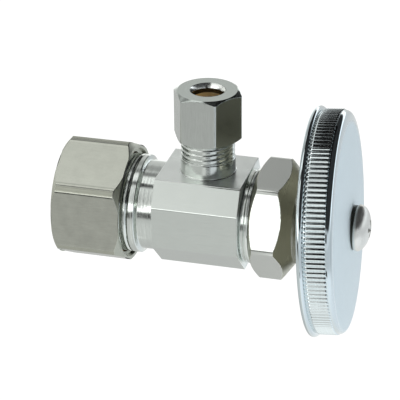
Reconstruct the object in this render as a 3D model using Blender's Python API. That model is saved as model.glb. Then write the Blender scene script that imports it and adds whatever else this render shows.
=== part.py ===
"""Multi-turn angle stop valve: compression inlet, compression outlet and a round handle.

Frame: the origin is the centre of the body's inlet mouth, +X runs along the valve to the handle,
and +Z points up the outlet. Dimensions are in millimetres and are turned into metres when a
mesh is made.
"""

import math

import bmesh
import bpy
from mathutils import Matrix, Vector

MM = 0.001
INCH = 25.4
GAP = 0.3  # between a piece and its neighbour
ROUND = 48  # sides of a turned piece
SMALL_ROUND = 32  # sides of a small turned piece
TINY_ROUND = 16  # sides of the washer's screw
OVERLAP = 1.0  # how far a construction shape runs into or past its neighbour

# Tubes and threads
SUPPLY_TUBE_R = 5 / 8 * INCH / 2
OUTLET_TUBE_R = 1 / 4 * INCH / 2
TUBE_CLEARANCE = 0.1
INLET_THREAD_R = 13 / 16 * INCH / 2
OUTLET_THREAD_R = 7 / 16 * INCH / 2
BONNET_THREAD_R = 9.2

# Body, along X from the inlet mouth
INLET_THREAD_CHAMFER = 0.9
THREAD_RUNOUT_X = 11.5
THREAD_RUNOUT = 0.6
BLOCK_START_X = 14.8
OUTLET_X = 24.1
BLOCK_END_X = 32.9
BLOCK_TOP_Z = 9.65
BLOCK_TOP_HALF = 7.8
BLOCK_HALF_WIDTH = 10.6
BLOCK_SIDE_HALF = 4.4
BLOCK_BOTTOM_Z = -10.8
BLOCK_BOTTOM_HALF = 3.8
NECK_R = 9.35
COLLAR_R = 9.8
COLLAR_X = (BLOCK_END_X + 0.45, BLOCK_END_X + 1.9)
BONNET_MOUTH_X = 41.5
BONNET_CHAMFER = 0.6

# Water way
INLET_CONE_WIDTH = 1.6  # the cone at the mouth that the inlet ferrule is pressed into
INLET_CONE_DEPTH = 2.6
PIPE_STOP_X = 11.0
INLET_PASSAGE_R = 5.0
SEAT_X = 19.6
SEAT_R = 3.2
SEAT_WALL = 2.0
CHAMBER_R = 5.0
PACKING_BOX_X = 36.5
PACKING_BOX_R = 5.6
OUTLET_PASSAGE_R = 2.3

# Outlet boss, along Z
OUTLET_NECK_TOP_Z = 12.7
OUTLET_NECK_R = 5.65
OUTLET_MOUTH_Z = 22.0
OUTLET_CHAMFER = 0.5
OUTLET_STOP_Z = 14.0
OUTLET_CONE_WIDTH = 1.2
OUTLET_CONE_DEPTH = 1.7

# Inlet nut
INLET_NUT_FLATS = 15 / 16 * INCH
INLET_NUT_X = (-6.4, 8.1)
INLET_NUT_LAND_R = 13.35
INLET_NUT_FACE_R = 12.2
INLET_NUT_CHAMFER = 1.0
INLET_NUT_TURN = math.radians(1.5)
INLET_NUT_THREAD_END_X = -1.2
INLET_NUT_CONE_X = -3.2
INLET_NUT_CONE_WIDTH = 1.8
INLET_FERRULE_X = (-2.4, 1.8)
INLET_FERRULE_CREST_X = (-0.8, -0.2)
INLET_FERRULE_CREST = 1.25
INLET_FERRULE_ENDS = (0.35, 0.2)

# Outlet nut
OUTLET_NUT_FLATS = 1 / 2 * INCH
OUTLET_NUT_Z = (16.8, 27.3)
OUTLET_NUT_LAND_R = 7.1
OUTLET_NUT_FACE_R = 6.1
OUTLET_NUT_CHAMFER = 0.7
OUTLET_NUT_TURN = math.radians(-3.0)
OUTLET_NUT_HOLE_R = 3.4
OUTLET_NUT_MOUTH_WIDTH = 0.4
OUTLET_NUT_MOUTH_DEPTH = 0.3
OUTLET_NUT_THREAD_END_Z = OUTLET_MOUTH_Z + 0.9
OUTLET_NUT_CONE_Z = OUTLET_MOUTH_Z + 2.3
OUTLET_NUT_CONE_WIDTH = 1.3
OUTLET_FERRULE_Z = (OUTLET_MOUTH_Z - 1.2, OUTLET_MOUTH_Z + 1.6)
OUTLET_FERRULE_CREST_Z = (OUTLET_MOUTH_Z + 0.1, OUTLET_MOUTH_Z + 0.6)
OUTLET_FERRULE_CREST = 0.95
OUTLET_FERRULE_ENDS = (0.15, 0.3)

# Packing nut
PACKING_NUT_FLATS = 7 / 8 * INCH
PACKING_NUT_X = (35.1, 43.6)
PACKING_NUT_LAND_X = (36.3, 40.8)
PACKING_NUT_LAND_R = 12.6
PACKING_NUT_BACK_R = 10.6
PACKING_NUT_FACE_R = 8.7
PACKING_NUT_TURN = math.radians(-8.6)
PACKING_NUT_FLOOR_GAP = 0.5  # between the bonnet's mouth and the nut's floor

# Stem and what seals it
STEM_THREAD_R = 4.7
STEM_R = 3.1
STEM_END_R = 2.7
WASHER_R = 4.2
WASHER_X = (SEAT_X + GAP, SEAT_X + 2.7)
WASHER_HOLDER = 1.2  # thickness of the stem's end disc that backs the washer
WASHER_SCREW_R = 1.0
WASHER_SCREW_LENGTH = 3.2  # past the washer's back
WASHER_SCREW_HEAD = ((1.1, 1.0), (0.7, 1.9), (0, 2.1))  # (height, radius) down its round head
STEM_THREAD_X = (26.6, 32.1)
STEM_END_X = 53.4
STEM_SPLINE_X = 46.0
PACKING_STACK = (  # each ring's name, and its start and end in the packing box
    ("packing_seat_washer", 0.3, 1.0),
    ("stem_packing", 1.3, 3.6),
    ("gland_washer", 3.9, 5.1),
)

# Handle and its screw
HANDLE_R = 23.75  # over the bead at the back
HANDLE_BAND_R = 23.2
HANDLE_BEAD = 1.3
HANDLE_BACK_X = 46.8
HANDLE_EDGE_X = 53.75
HANDLE_CENTRE_X = 54.75
HANDLE_EDGE_R = 22.95
HANDLE_EDGE_ROUND = 1.6
HANDLE_WALL = 1.3
HANDLE_CORNER = 2.4  # height of the slope between the wall and the back of the face
HANDLE_SIDES = 72
HANDLE_LEAN_Y = math.radians(-3.8)  # the wheel sits a little out of square on its stem
HANDLE_LEAN_Z = math.radians(3.2)
HANDLE_RISE = 0.4  # and a little off centre
HUB_R = 5.4
HUB_BACK_X = 46.7
SCREW_SEAT_X = 55.33
SCREW_HEAD_R = 4.7
SCREW_HEAD_H = 3.05
SCREW_HEAD_EDGE = 0.5  # height of the upright edge under the dome
SCREW_R = 1.6
SCREW_START_X = STEM_END_X - 7.0
SCREW_HOLE_X = STEM_END_X - 8.0
RECESS_HALF_WIDTH = 0.5
RECESS_HALF_LENGTH = 2.3
RECESS_DEPTH = 1.5
RECESS_TURN = 0.3

CHROME = (0.72, 0.73, 0.72)
NICKEL = (0.56, 0.55, 0.52)
BRASS = (0.72, 0.52, 0.24)
BLACK_RUBBER = (0.03, 0.03, 0.03)
GRAPHITE = (0.09, 0.09, 0.09)


def clear_scene():
    for obj in list(bpy.data.objects):
        bpy.data.objects.remove(obj)


def material(name, colour, roughness, metallic):
    made = bpy.data.materials.new(name)
    made.use_nodes = True
    shader = made.node_tree.nodes["Principled BSDF"]
    shader.inputs["Base Color"].default_value = (*colour, 1)
    shader.inputs["Roughness"].default_value = roughness
    shader.inputs["Metallic"].default_value = metallic
    return made


def axis_vectors(axis):
    """The direction along an axis, and the two directions across it that angles turn through."""
    if axis == "X":
        return Vector((1, 0, 0)), Vector((0, -1, 0)), Vector((0, 0, 1))
    return Vector((0, 0, 1)), Vector((1, 0, 0)), Vector((0, 1, 0))


def new_object(name, shape):
    bmesh.ops.recalc_face_normals(shape, faces=shape.faces)
    mesh = bpy.data.meshes.new(name)
    shape.to_mesh(mesh)
    shape.free()
    obj = bpy.data.objects.new(name, mesh)
    bpy.context.scene.collection.objects.link(obj)
    return obj


def turned(name, profile, axis="X", centre=(0, 0, 0), sides=ROUND):
    """A body of revolution from (distance along the axis, radius) points.

    A profile that starts and ends on the axis makes a solid. Any other is closed into a ring.
    """
    along, across, up = axis_vectors(axis)
    angles = [2 * math.pi * (i + 0.5) / sides for i in range(sides)]
    spokes = [across * math.cos(angle) + up * math.sin(angle) for angle in angles]
    shape = bmesh.new()
    rings = []
    for distance, radius in profile:
        middle = Vector(centre) + along * distance
        if radius == 0:
            rings.append([shape.verts.new(middle * MM)] * sides)
        else:
            rings.append([shape.verts.new((middle + spoke * radius) * MM) for spoke in spokes])
    pairs = list(zip(rings, rings[1:]))
    if profile[0][1] > 0:
        pairs.append((rings[-1], rings[0]))
    for first, second in pairs:
        for i in range(sides):
            j = (i + 1) % sides
            corners = dict.fromkeys((first[i], first[j], second[j], second[i]))
            shape.faces.new(list(corners))
    return new_object(name, shape)


def prism(name, outline, axis, start, end, centre=(0, 0, 0)):
    """An outline of (across, up) points, extruded along an axis."""
    along, across, up = axis_vectors(axis)
    shape = bmesh.new()
    ends = []
    for distance in (start, end):
        middle = Vector(centre) + along * distance
        ends.append([shape.verts.new((middle + across * a + up * u) * MM) for a, u in outline])
    shape.faces.new(ends[0])
    shape.faces.new(ends[1])
    for i in range(len(outline)):
        j = (i + 1) % len(outline)
        shape.faces.new((ends[0][i], ends[0][j], ends[1][j], ends[1][i]))
    return new_object(name, shape)


def hexagon(flats, turn):
    corner_r = flats / 2 / math.cos(math.pi / 6)
    angles = [turn + i * math.pi / 3 for i in range(6)]
    return [(corner_r * math.cos(a), corner_r * math.sin(a)) for a in angles]


def cut_to_hexagon(nut, flats, turn, axis, start, end, centre=(0, 0, 0)):
    """Keeps what of a turned nut lies inside a hexagonal bar."""
    blank = prism(nut.name + "_bar", hexagon(flats, turn), axis, start - OVERLAP, end + OVERLAP, centre)
    combine(nut, blank, "INTERSECT")


def combine(obj, other, operation):
    """Adds, removes or keeps only what other holds, and hides other as a construction shape."""
    modifier = obj.modifiers.new(other.name, "BOOLEAN")
    modifier.operation = operation
    modifier.solver = "EXACT"
    modifier.object = other
    other.hide_render = True
    other.display_type = "WIRE"


def finish(obj, origin, surface):
    """Moves the object's origin to a point on its axis, shades it and gives it its material."""
    obj.data.transform(Matrix.Translation(-Vector(origin) * MM))
    obj.location = Vector(origin) * MM
    obj.data.shade_smooth()
    obj.data.set_sharp_from_angle(angle=math.radians(25))
    obj.data.materials.append(surface)


def block_outline():
    """The body's section: an irregular octagon with a wide flat top under the outlet boss."""
    right = [
        (BLOCK_TOP_HALF, BLOCK_TOP_Z),
        (BLOCK_HALF_WIDTH, BLOCK_SIDE_HALF),
        (BLOCK_HALF_WIDTH, -BLOCK_SIDE_HALF),
        (BLOCK_BOTTOM_HALF, BLOCK_BOTTOM_Z),
    ]
    return right + [(-a, u) for a, u in reversed(right)]


def make_body(surface):
    body = prism("valve_body", block_outline(), "X", BLOCK_START_X, BLOCK_END_X)
    inlet = turned("inlet_shank", [
        (0, 0),
        (0, INLET_THREAD_R - INLET_THREAD_CHAMFER),
        (INLET_THREAD_CHAMFER, INLET_THREAD_R),
        (THREAD_RUNOUT_X - THREAD_RUNOUT, INLET_THREAD_R),
        (THREAD_RUNOUT_X, NECK_R),
        (BLOCK_START_X + OVERLAP, NECK_R),
        (BLOCK_START_X + OVERLAP, 0),
    ])
    bonnet = turned("bonnet_boss", [
        (BLOCK_END_X - OVERLAP, 0),
        (BLOCK_END_X - OVERLAP, BONNET_THREAD_R),
        (COLLAR_X[0], BONNET_THREAD_R),
        (COLLAR_X[0], COLLAR_R),
        (COLLAR_X[1], COLLAR_R),
        (COLLAR_X[1], BONNET_THREAD_R),
        (BONNET_MOUTH_X - BONNET_CHAMFER, BONNET_THREAD_R),
        (BONNET_MOUTH_X, BONNET_THREAD_R - BONNET_CHAMFER),
        (BONNET_MOUTH_X, 0),
    ])
    outlet = turned("outlet_boss", [
        (BLOCK_TOP_Z - OVERLAP, 0),
        (BLOCK_TOP_Z - OVERLAP, OUTLET_NECK_R),
        (OUTLET_NECK_TOP_Z, OUTLET_NECK_R),
        (OUTLET_NECK_TOP_Z, OUTLET_THREAD_R),
        (OUTLET_MOUTH_Z - OUTLET_CHAMFER, OUTLET_THREAD_R),
        (OUTLET_MOUTH_Z, OUTLET_THREAD_R - OUTLET_CHAMFER),
        (OUTLET_MOUTH_Z, 0),
    ], axis="Z", centre=(OUTLET_X, 0, 0))
    socket_r = SUPPLY_TUBE_R + TUBE_CLEARANCE
    run_bore = turned("run_bore", [
        (-OVERLAP, 0),
        (-OVERLAP, socket_r + INLET_CONE_WIDTH),
        (0, socket_r + INLET_CONE_WIDTH),
        (INLET_CONE_DEPTH, socket_r),
        (PIPE_STOP_X, socket_r),
        (PIPE_STOP_X, INLET_PASSAGE_R),
        (SEAT_X - SEAT_WALL, INLET_PASSAGE_R),
        (SEAT_X - SEAT_WALL, SEAT_R),
        (SEAT_X, SEAT_R),
        (SEAT_X, CHAMBER_R),
        (PACKING_BOX_X, CHAMBER_R),
        (PACKING_BOX_X, PACKING_BOX_R),
        (BONNET_MOUTH_X + OVERLAP, PACKING_BOX_R),
        (BONNET_MOUTH_X + OVERLAP, 0),
    ])
    outlet_socket_r = OUTLET_TUBE_R + TUBE_CLEARANCE
    outlet_bore = turned("outlet_bore", [
        (0, 0),
        (0, OUTLET_PASSAGE_R),
        (OUTLET_STOP_Z, OUTLET_PASSAGE_R),
        (OUTLET_STOP_Z, outlet_socket_r),
        (OUTLET_MOUTH_Z - OUTLET_CONE_DEPTH, outlet_socket_r),
        (OUTLET_MOUTH_Z, outlet_socket_r + OUTLET_CONE_WIDTH),
        (OUTLET_MOUTH_Z + OVERLAP, outlet_socket_r + OUTLET_CONE_WIDTH),
        (OUTLET_MOUTH_Z + OVERLAP, 0),
    ], axis="Z", centre=(OUTLET_X, 0, 0), sides=SMALL_ROUND)
    for boss in (inlet, bonnet, outlet):
        combine(body, boss, "UNION")
    for bore in (run_bore, outlet_bore):
        combine(body, bore, "DIFFERENCE")
    finish(body, (0, 0, 0), surface)


def make_inlet_nut(surface):
    back, front = INLET_NUT_X
    thread_r = INLET_THREAD_R + GAP
    hole_r = SUPPLY_TUBE_R + 2 * TUBE_CLEARANCE
    nut = turned("inlet_nut", [
        (back, hole_r),
        (back, INLET_NUT_FACE_R),
        (back + INLET_NUT_CHAMFER, INLET_NUT_LAND_R),
        (front - INLET_NUT_CHAMFER, INLET_NUT_LAND_R),
        (front, INLET_NUT_FACE_R),
        (front, thread_r + THREAD_RUNOUT),
        (front - THREAD_RUNOUT, thread_r),
        (INLET_NUT_THREAD_END_X, thread_r),
        (INLET_NUT_THREAD_END_X, hole_r + INLET_NUT_CONE_WIDTH),
        (INLET_NUT_CONE_X, hole_r),
    ])
    cut_to_hexagon(nut, INLET_NUT_FLATS, math.pi / 2 + INLET_NUT_TURN, "X", back, front)
    finish(nut, (back, 0, 0), surface)


def make_outlet_nut(surface):
    bottom, top = OUTLET_NUT_Z
    thread_r = OUTLET_THREAD_R + GAP
    hole_r = OUTLET_NUT_HOLE_R
    centre = (OUTLET_X, 0, 0)
    nut = turned("outlet_nut", [
        (top - OUTLET_NUT_MOUTH_DEPTH, hole_r),
        (top, hole_r + OUTLET_NUT_MOUTH_WIDTH),
        (top, OUTLET_NUT_FACE_R),
        (top - OUTLET_NUT_CHAMFER, OUTLET_NUT_LAND_R),
        (bottom + OUTLET_NUT_CHAMFER, OUTLET_NUT_LAND_R),
        (bottom, OUTLET_NUT_FACE_R),
        (bottom, thread_r),
        (OUTLET_NUT_THREAD_END_Z, thread_r),
        (OUTLET_NUT_THREAD_END_Z, hole_r + OUTLET_NUT_CONE_WIDTH),
        (OUTLET_NUT_CONE_Z, hole_r),
    ], axis="Z", centre=centre)
    cut_to_hexagon(nut, OUTLET_NUT_FLATS, OUTLET_NUT_TURN, "Z", bottom, top, centre)
    finish(nut, (OUTLET_X, 0, top), surface)


def make_packing_nut(surface):
    back, front = PACKING_NUT_X
    land_start, land_end = PACKING_NUT_LAND_X
    thread_r = BONNET_THREAD_R + GAP
    hole_r = STEM_R + GAP
    nut = turned("packing_nut", [
        (back, thread_r),
        (back, PACKING_NUT_BACK_R),
        (land_start, PACKING_NUT_LAND_R),
        (land_end, PACKING_NUT_LAND_R),
        (front, PACKING_NUT_FACE_R),
        (front, hole_r),
        (BONNET_MOUTH_X + PACKING_NUT_FLOOR_GAP, hole_r),
        (BONNET_MOUTH_X + PACKING_NUT_FLOOR_GAP, thread_r),
    ])
    cut_to_hexagon(nut, PACKING_NUT_FLATS, PACKING_NUT_TURN, "X", back, front)
    finish(nut, (back, 0, 0), surface)


def ferrule_profile(span, crest_span, inner_r, crest, ends):
    """A barrel-shaped sleeve: its wall is thickest at the crest and thin at both ends."""
    return [
        (span[0], inner_r),
        (span[0], inner_r + ends[0]),
        (crest_span[0], inner_r + crest),
        (crest_span[1], inner_r + crest),
        (span[1], inner_r + ends[1]),
        (span[1], inner_r),
    ]


def make_inlet_ferrule(surface):
    """The compression sleeve between the nut's inner cone and the body's mouth."""
    inner_r = SUPPLY_TUBE_R + TUBE_CLEARANCE
    profile = ferrule_profile(
        INLET_FERRULE_X, INLET_FERRULE_CREST_X, inner_r, INLET_FERRULE_CREST, INLET_FERRULE_ENDS
    )
    finish(turned("inlet_ferrule", profile), (0, 0, 0), surface)


def make_outlet_ferrule(surface):
    inner_r = OUTLET_TUBE_R + TUBE_CLEARANCE
    profile = ferrule_profile(
        OUTLET_FERRULE_Z, OUTLET_FERRULE_CREST_Z, inner_r, OUTLET_FERRULE_CREST, OUTLET_FERRULE_ENDS
    )
    ferrule = turned("outlet_ferrule", profile, axis="Z", centre=(OUTLET_X, 0, 0), sides=SMALL_ROUND)
    finish(ferrule, (OUTLET_X, 0, OUTLET_MOUTH_Z), surface)


def make_ring(name, start, end, inner_r, outer_r, surface):
    profile = [(start, inner_r), (start, outer_r), (end, outer_r), (end, inner_r)]
    ring = turned(name, profile, sides=SMALL_ROUND)
    finish(ring, (start, 0, 0), surface)


def make_stem(surface):
    thread_start, thread_end = STEM_THREAD_X
    stem = turned("stem", [
        (WASHER_X[1] + GAP, 0),
        (WASHER_X[1] + GAP, WASHER_R),
        (WASHER_X[1] + GAP + WASHER_HOLDER, WASHER_R),
        (WASHER_X[1] + GAP + WASHER_HOLDER, STEM_R),
        (thread_start, STEM_R),
        (thread_start, STEM_THREAD_R),
        (thread_end, STEM_THREAD_R),
        (thread_end, STEM_R),
        (STEM_SPLINE_X, STEM_R),
        (STEM_SPLINE_X, STEM_END_R),
        (STEM_END_X, STEM_END_R),
        (STEM_END_X, 0),
    ], sides=SMALL_ROUND)
    screw_hole = turned("handle_screw_hole", [
        (SCREW_HOLE_X, 0),
        (SCREW_HOLE_X, SCREW_R + GAP),
        (STEM_END_X + OVERLAP, SCREW_R + GAP),
        (STEM_END_X + OVERLAP, 0),
    ], sides=SMALL_ROUND)
    washer_hole_end = WASHER_X[1] + WASHER_SCREW_LENGTH + GAP
    washer_hole = turned("washer_screw_hole", [
        (WASHER_X[0], 0),
        (WASHER_X[0], WASHER_SCREW_R + GAP),
        (washer_hole_end, WASHER_SCREW_R + GAP),
        (washer_hole_end, 0),
    ], sides=TINY_ROUND)
    combine(stem, screw_hole, "DIFFERENCE")
    combine(stem, washer_hole, "DIFFERENCE")
    finish(stem, (STEM_END_X, 0, 0), surface)


def make_seat_washer_screw(surface):
    """The round-head screw that holds the rubber washer on the end of the stem."""
    head_x = WASHER_X[0] - GAP
    end_x = WASHER_X[1] + WASHER_SCREW_LENGTH
    screw = turned("seat_washer_screw", [
        (head_x - WASHER_SCREW_HEAD[0][0], 0),
        *[(head_x - height, radius) for height, radius in WASHER_SCREW_HEAD],
        (head_x, WASHER_SCREW_R),
        (end_x, WASHER_SCREW_R),
        (end_x, 0),
    ], sides=TINY_ROUND)
    finish(screw, (head_x, 0, 0), surface)


def arc(centre, radius, start, end, steps):
    """(along, radius) points on an arc. Angles are in degrees from the +along direction."""
    points = []
    for i in range(steps + 1):
        angle = math.radians(start + (end - start) * i / steps)
        points.append((centre[0] + radius * math.cos(angle), centre[1] + radius * math.sin(angle)))
    return points


def crown(radius, offset=0.0):
    """Height of the handle's gently domed face at a distance from its centre."""
    rise = HANDLE_CENTRE_X - HANDLE_EDGE_X
    return HANDLE_CENTRE_X + offset - rise * (radius / HANDLE_EDGE_R) ** 2


def lean(obj):
    """Tips the handle about the point where its back plane crosses the stem's axis, and lifts it."""
    pivot = Vector((HANDLE_BACK_X, 0, 0)) * MM
    rise = Vector((0, 0, HANDLE_RISE)) * MM
    turn = Matrix.Rotation(HANDLE_LEAN_Z, 4, "Z") @ Matrix.Rotation(HANDLE_LEAN_Y, 4, "Y")
    obj.data.transform(Matrix.Translation(pivot + rise) @ turn @ Matrix.Translation(-pivot))


def make_handle(surface):
    """A thin dished wheel, open at the back, with a hub that is bored along the stem's axis."""
    bore_r = STEM_END_R + GAP
    bead_r = HANDLE_BEAD / 2
    edge_r = HANDLE_EDGE_ROUND
    inner_r = HANDLE_BAND_R - HANDLE_WALL
    face_r = HANDLE_EDGE_R - edge_r
    face = [(crown(face_r * share), face_r * share) for share in (0.25, 0.5, 0.75, 1)]
    inside = [(crown(r, -HANDLE_WALL), r) for r in (face_r - HANDLE_WALL, face_r * 0.6, HUB_R)]
    handle = turned("handle", [
        (HANDLE_CENTRE_X, 0),
        *face,
        *arc((HANDLE_EDGE_X - edge_r, face_r), edge_r, 20, 90, 3),
        (HANDLE_EDGE_X - edge_r - GAP, HANDLE_BAND_R),
        (HANDLE_BACK_X + HANDLE_BEAD, HANDLE_BAND_R),
        *arc((HANDLE_BACK_X + bead_r, HANDLE_R - bead_r), bead_r, 45, 180, 3),
        (HANDLE_BACK_X, inner_r),
        (HANDLE_EDGE_X - HANDLE_WALL - HANDLE_CORNER, inner_r),
        *inside,
        (HUB_BACK_X, HUB_R),
        (HUB_BACK_X, 0),
    ], sides=HANDLE_SIDES)
    lean(handle)
    bore = turned("handle_bore", [
        (HUB_BACK_X - OVERLAP, 0),
        (HUB_BACK_X - OVERLAP, bore_r),
        (HANDLE_CENTRE_X + OVERLAP, bore_r),
        (HANDLE_CENTRE_X + OVERLAP, 0),
    ], sides=SMALL_ROUND)
    combine(handle, bore, "DIFFERENCE")
    finish(handle, (HANDLE_CENTRE_X, 0, 0), surface)


def recess_outline(turn):
    """One slot of the screw's cross recess, as (across, up) points."""
    outline = []
    for a, u in ((-1, -1), (1, -1), (1, 1), (-1, 1)):
        point = Vector((a * RECESS_HALF_LENGTH, u * RECESS_HALF_WIDTH))
        point.rotate(Matrix.Rotation(turn, 2))
        outline.append(tuple(point))
    return outline


def make_handle_screw(surface):
    """An oval-head screw with a cross recess."""
    dome_x = SCREW_SEAT_X + SCREW_HEAD_EDGE
    top = SCREW_SEAT_X + SCREW_HEAD_H
    steps = 6
    dome = []
    for i in range(steps):
        angle = math.pi / 2 * i / steps
        dome.append((dome_x + (top - dome_x) * math.sin(angle), SCREW_HEAD_R * math.cos(angle)))
    screw = turned("handle_screw", [
        (SCREW_START_X, 0),
        (SCREW_START_X, SCREW_R),
        (SCREW_SEAT_X, SCREW_R),
        (SCREW_SEAT_X, SCREW_HEAD_R),
        *dome,
        (top, 0),
    ], sides=SMALL_ROUND)
    for name, turn in (("recess_a", RECESS_TURN), ("recess_b", RECESS_TURN + math.pi / 2)):
        slot = prism(name, recess_outline(turn), "X", top - RECESS_DEPTH, top + OVERLAP)
        combine(screw, slot, "DIFFERENCE")
    finish(screw, (SCREW_SEAT_X, 0, 0), surface)


def main():
    clear_scene()
    chrome = material("chrome", CHROME, 0.18, 1.0)
    nickel = material("satin_nickel", NICKEL, 0.32, 1.0)
    brass = material("brass", BRASS, 0.3, 1.0)
    rubber = material("rubber", BLACK_RUBBER, 0.7, 0.0)
    graphite = material("graphite_packing", GRAPHITE, 0.6, 0.0)
    make_body(chrome)
    make_inlet_nut(nickel)
    make_outlet_nut(nickel)
    make_packing_nut(nickel)
    make_inlet_ferrule(brass)
    make_outlet_ferrule(brass)
    for name, start, end in PACKING_STACK:
        surface = graphite if name == "stem_packing" else brass
        ends = (PACKING_BOX_X + start, PACKING_BOX_X + end)
        make_ring(name, *ends, STEM_R + GAP, PACKING_BOX_R - GAP, surface)
    make_stem(chrome)
    make_ring("seat_washer", *WASHER_X, WASHER_SCREW_R + GAP, WASHER_R, rubber)
    make_seat_washer_screw(brass)
    make_handle(chrome)
    make_handle_screw(nickel)


main()
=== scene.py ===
"""Looks of the angle stop valve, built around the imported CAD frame.

Lengths are in millimetres until a mesh is made, and the frame is the CAD model's: the origin is
the centre of the inlet's mouth, +X runs to the handle and +Z up the outlet.
"""

import math

import bmesh
import bpy
import numpy as np
from mathutils import Matrix, Vector


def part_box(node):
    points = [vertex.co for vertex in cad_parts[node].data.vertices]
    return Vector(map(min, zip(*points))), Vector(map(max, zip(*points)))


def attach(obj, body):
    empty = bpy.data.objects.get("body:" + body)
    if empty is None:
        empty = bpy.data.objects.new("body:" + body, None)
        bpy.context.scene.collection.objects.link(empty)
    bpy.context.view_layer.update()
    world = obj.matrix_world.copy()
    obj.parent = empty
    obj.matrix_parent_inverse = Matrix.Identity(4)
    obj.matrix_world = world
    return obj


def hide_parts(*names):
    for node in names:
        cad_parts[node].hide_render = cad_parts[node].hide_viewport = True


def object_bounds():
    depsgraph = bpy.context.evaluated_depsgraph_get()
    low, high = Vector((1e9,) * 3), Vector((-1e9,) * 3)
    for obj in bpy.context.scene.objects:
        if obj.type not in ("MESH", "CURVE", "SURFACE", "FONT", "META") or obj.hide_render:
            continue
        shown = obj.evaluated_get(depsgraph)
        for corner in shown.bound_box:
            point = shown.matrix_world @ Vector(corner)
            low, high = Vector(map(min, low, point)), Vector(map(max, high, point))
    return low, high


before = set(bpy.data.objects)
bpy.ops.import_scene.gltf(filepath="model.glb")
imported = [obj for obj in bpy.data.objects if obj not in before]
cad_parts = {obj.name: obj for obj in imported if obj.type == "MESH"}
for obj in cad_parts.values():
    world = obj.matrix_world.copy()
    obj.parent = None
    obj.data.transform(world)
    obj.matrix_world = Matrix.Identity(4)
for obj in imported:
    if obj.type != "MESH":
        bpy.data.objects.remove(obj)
cad_low, cad_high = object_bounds()

MM = 0.001
INCH = 25.4
MERGE_DISTANCE = 1e-7  # metres
FACING = 0.9  # a face whose normal has more than this along an axis looks that way
END_SLOPE = 0.25  # more than this marks a nut's ends and chamfers
X_AXIS = (Vector((1, 0, 0)), Vector((0, -1, 0)), Vector((0, 0, 1)))
Z_AXIS = (Vector((0, 0, 1)), Vector((1, 0, 0)), Vector((0, 1, 0)))


def extent(node, axis):
    """Where a CAD node starts and ends along an axis."""
    low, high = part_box(node)
    return low[axis] / MM, high[axis] / MM


def middle(node, axis):
    return sum(extent(node, axis)) / 2


# Places along the valve, read from the frame
BODY_X = extent("valve_body", 0)
BODY_Z = extent("valve_body", 2)
BLOCK_HALF_WIDTH = extent("valve_body", 1)[1]
INLET_NUT_X = extent("inlet_nut", 0)
OUTLET_NUT_Z = extent("outlet_nut", 2)
PACKING_NUT_X = extent("packing_nut", 0)
STEM_X = extent("stem", 0)
OUTLET_X = middle("outlet_nut", 0)
OUTLET_CENTRE = (OUTLET_X, 0, 0)
SCREW_X = extent("handle_screw", 0)

# Tubes and threads
SUPPLY_TUBE_R = 5 / 8 * INCH / 2
OUTLET_TUBE_R = 1 / 4 * INCH / 2
INLET_THREAD_R = 13 / 16 * INCH / 2
OUTLET_THREAD_R = 7 / 16 * INCH / 2
BONNET_THREAD_R = 9.2
INLET_PITCH = INCH / 18
OUTLET_PITCH = INCH / 24
BONNET_PITCH = INCH / 20
STEM_THREAD_PITCH = 1.6
SCREW_THREAD_R = 1.6
SCREW_THREAD_PITCH = 0.8
NUT_CLEARANCE = 0.3
RINGS_PER_PITCH = 12
TOOTH_STEEPNESS = 4.5

# Body
BLOCK_X = (OUTLET_X - 9.3, OUTLET_X + 8.8)
BLOCK_TOP_Z = 9.65
BLOCK_BOTTOM_Z = BODY_Z[0]
BLOCK_TOP_HALF = 7.8
BLOCK_SIDE_HALF = 4.4
BLOCK_BOTTOM_HALF = 3.8
BLOCK_SHARPNESS = 420.0
BLOCK_EDGE = 0.1
THREAD_RUNOUT_X = 11.5
NECK_R = 9.35
COLLAR_X = (BLOCK_X[1] + 0.25, BLOCK_X[1] + 1.9)
COLLAR_R = 9.8
OUTLET_NECK_R = 5.65
OUTLET_NECK_TOP_Z = 12.7
OUTLET_MOUTH_Z = BODY_Z[1]
OUTLET_STOP_Z = 14.0
OUTLET_PASSAGE_R = 2.3
SOCKET_R = SUPPLY_TUBE_R + 0.1
PIPE_STOP_X = 11.0
PASSAGE_R = 5.0
SEAT_X = 19.6
SEAT_R = 3.2
CHAMBER_R = 5.0
CHAMBER_THREAD_X = (26.0, 34.0)
PACKING_BOX_X = 36.5
PACKING_BOX_R = 5.6

# Nuts
INLET_FLATS = 15 / 16 * INCH
INLET_TURN = math.radians(1.5)
INLET_LAND_R = 13.35
INLET_FACE_R = 12.2
OUTLET_FLATS = 1 / 2 * INCH
OUTLET_TURN = math.radians(-3.0)
OUTLET_LAND_R = 7.22
OUTLET_FACE_R = 6.1
OUTLET_HOLE_R = 3.3
PACKING_FLATS = 7 / 8 * INCH
PACKING_TURN = math.radians(-8.6)
PACKING_LAND_R = 12.6
PACKING_LAND_X = (PACKING_NUT_X[0] + 1.2, PACKING_NUT_X[0] + 5.7)
PACKING_BACK_R = 10.6
PACKING_FACE_R = 8.7

# Stem
STEM_R = 3.1
STEM_END_R = 2.7
STEM_HOLDER_R = 4.2
STEM_THREAD_X = (26.6, 32.1)
STEM_THREAD_R = 4.7
STEM_SPLINE_X = 46.0
STEM_SPLINES = 24

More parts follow.
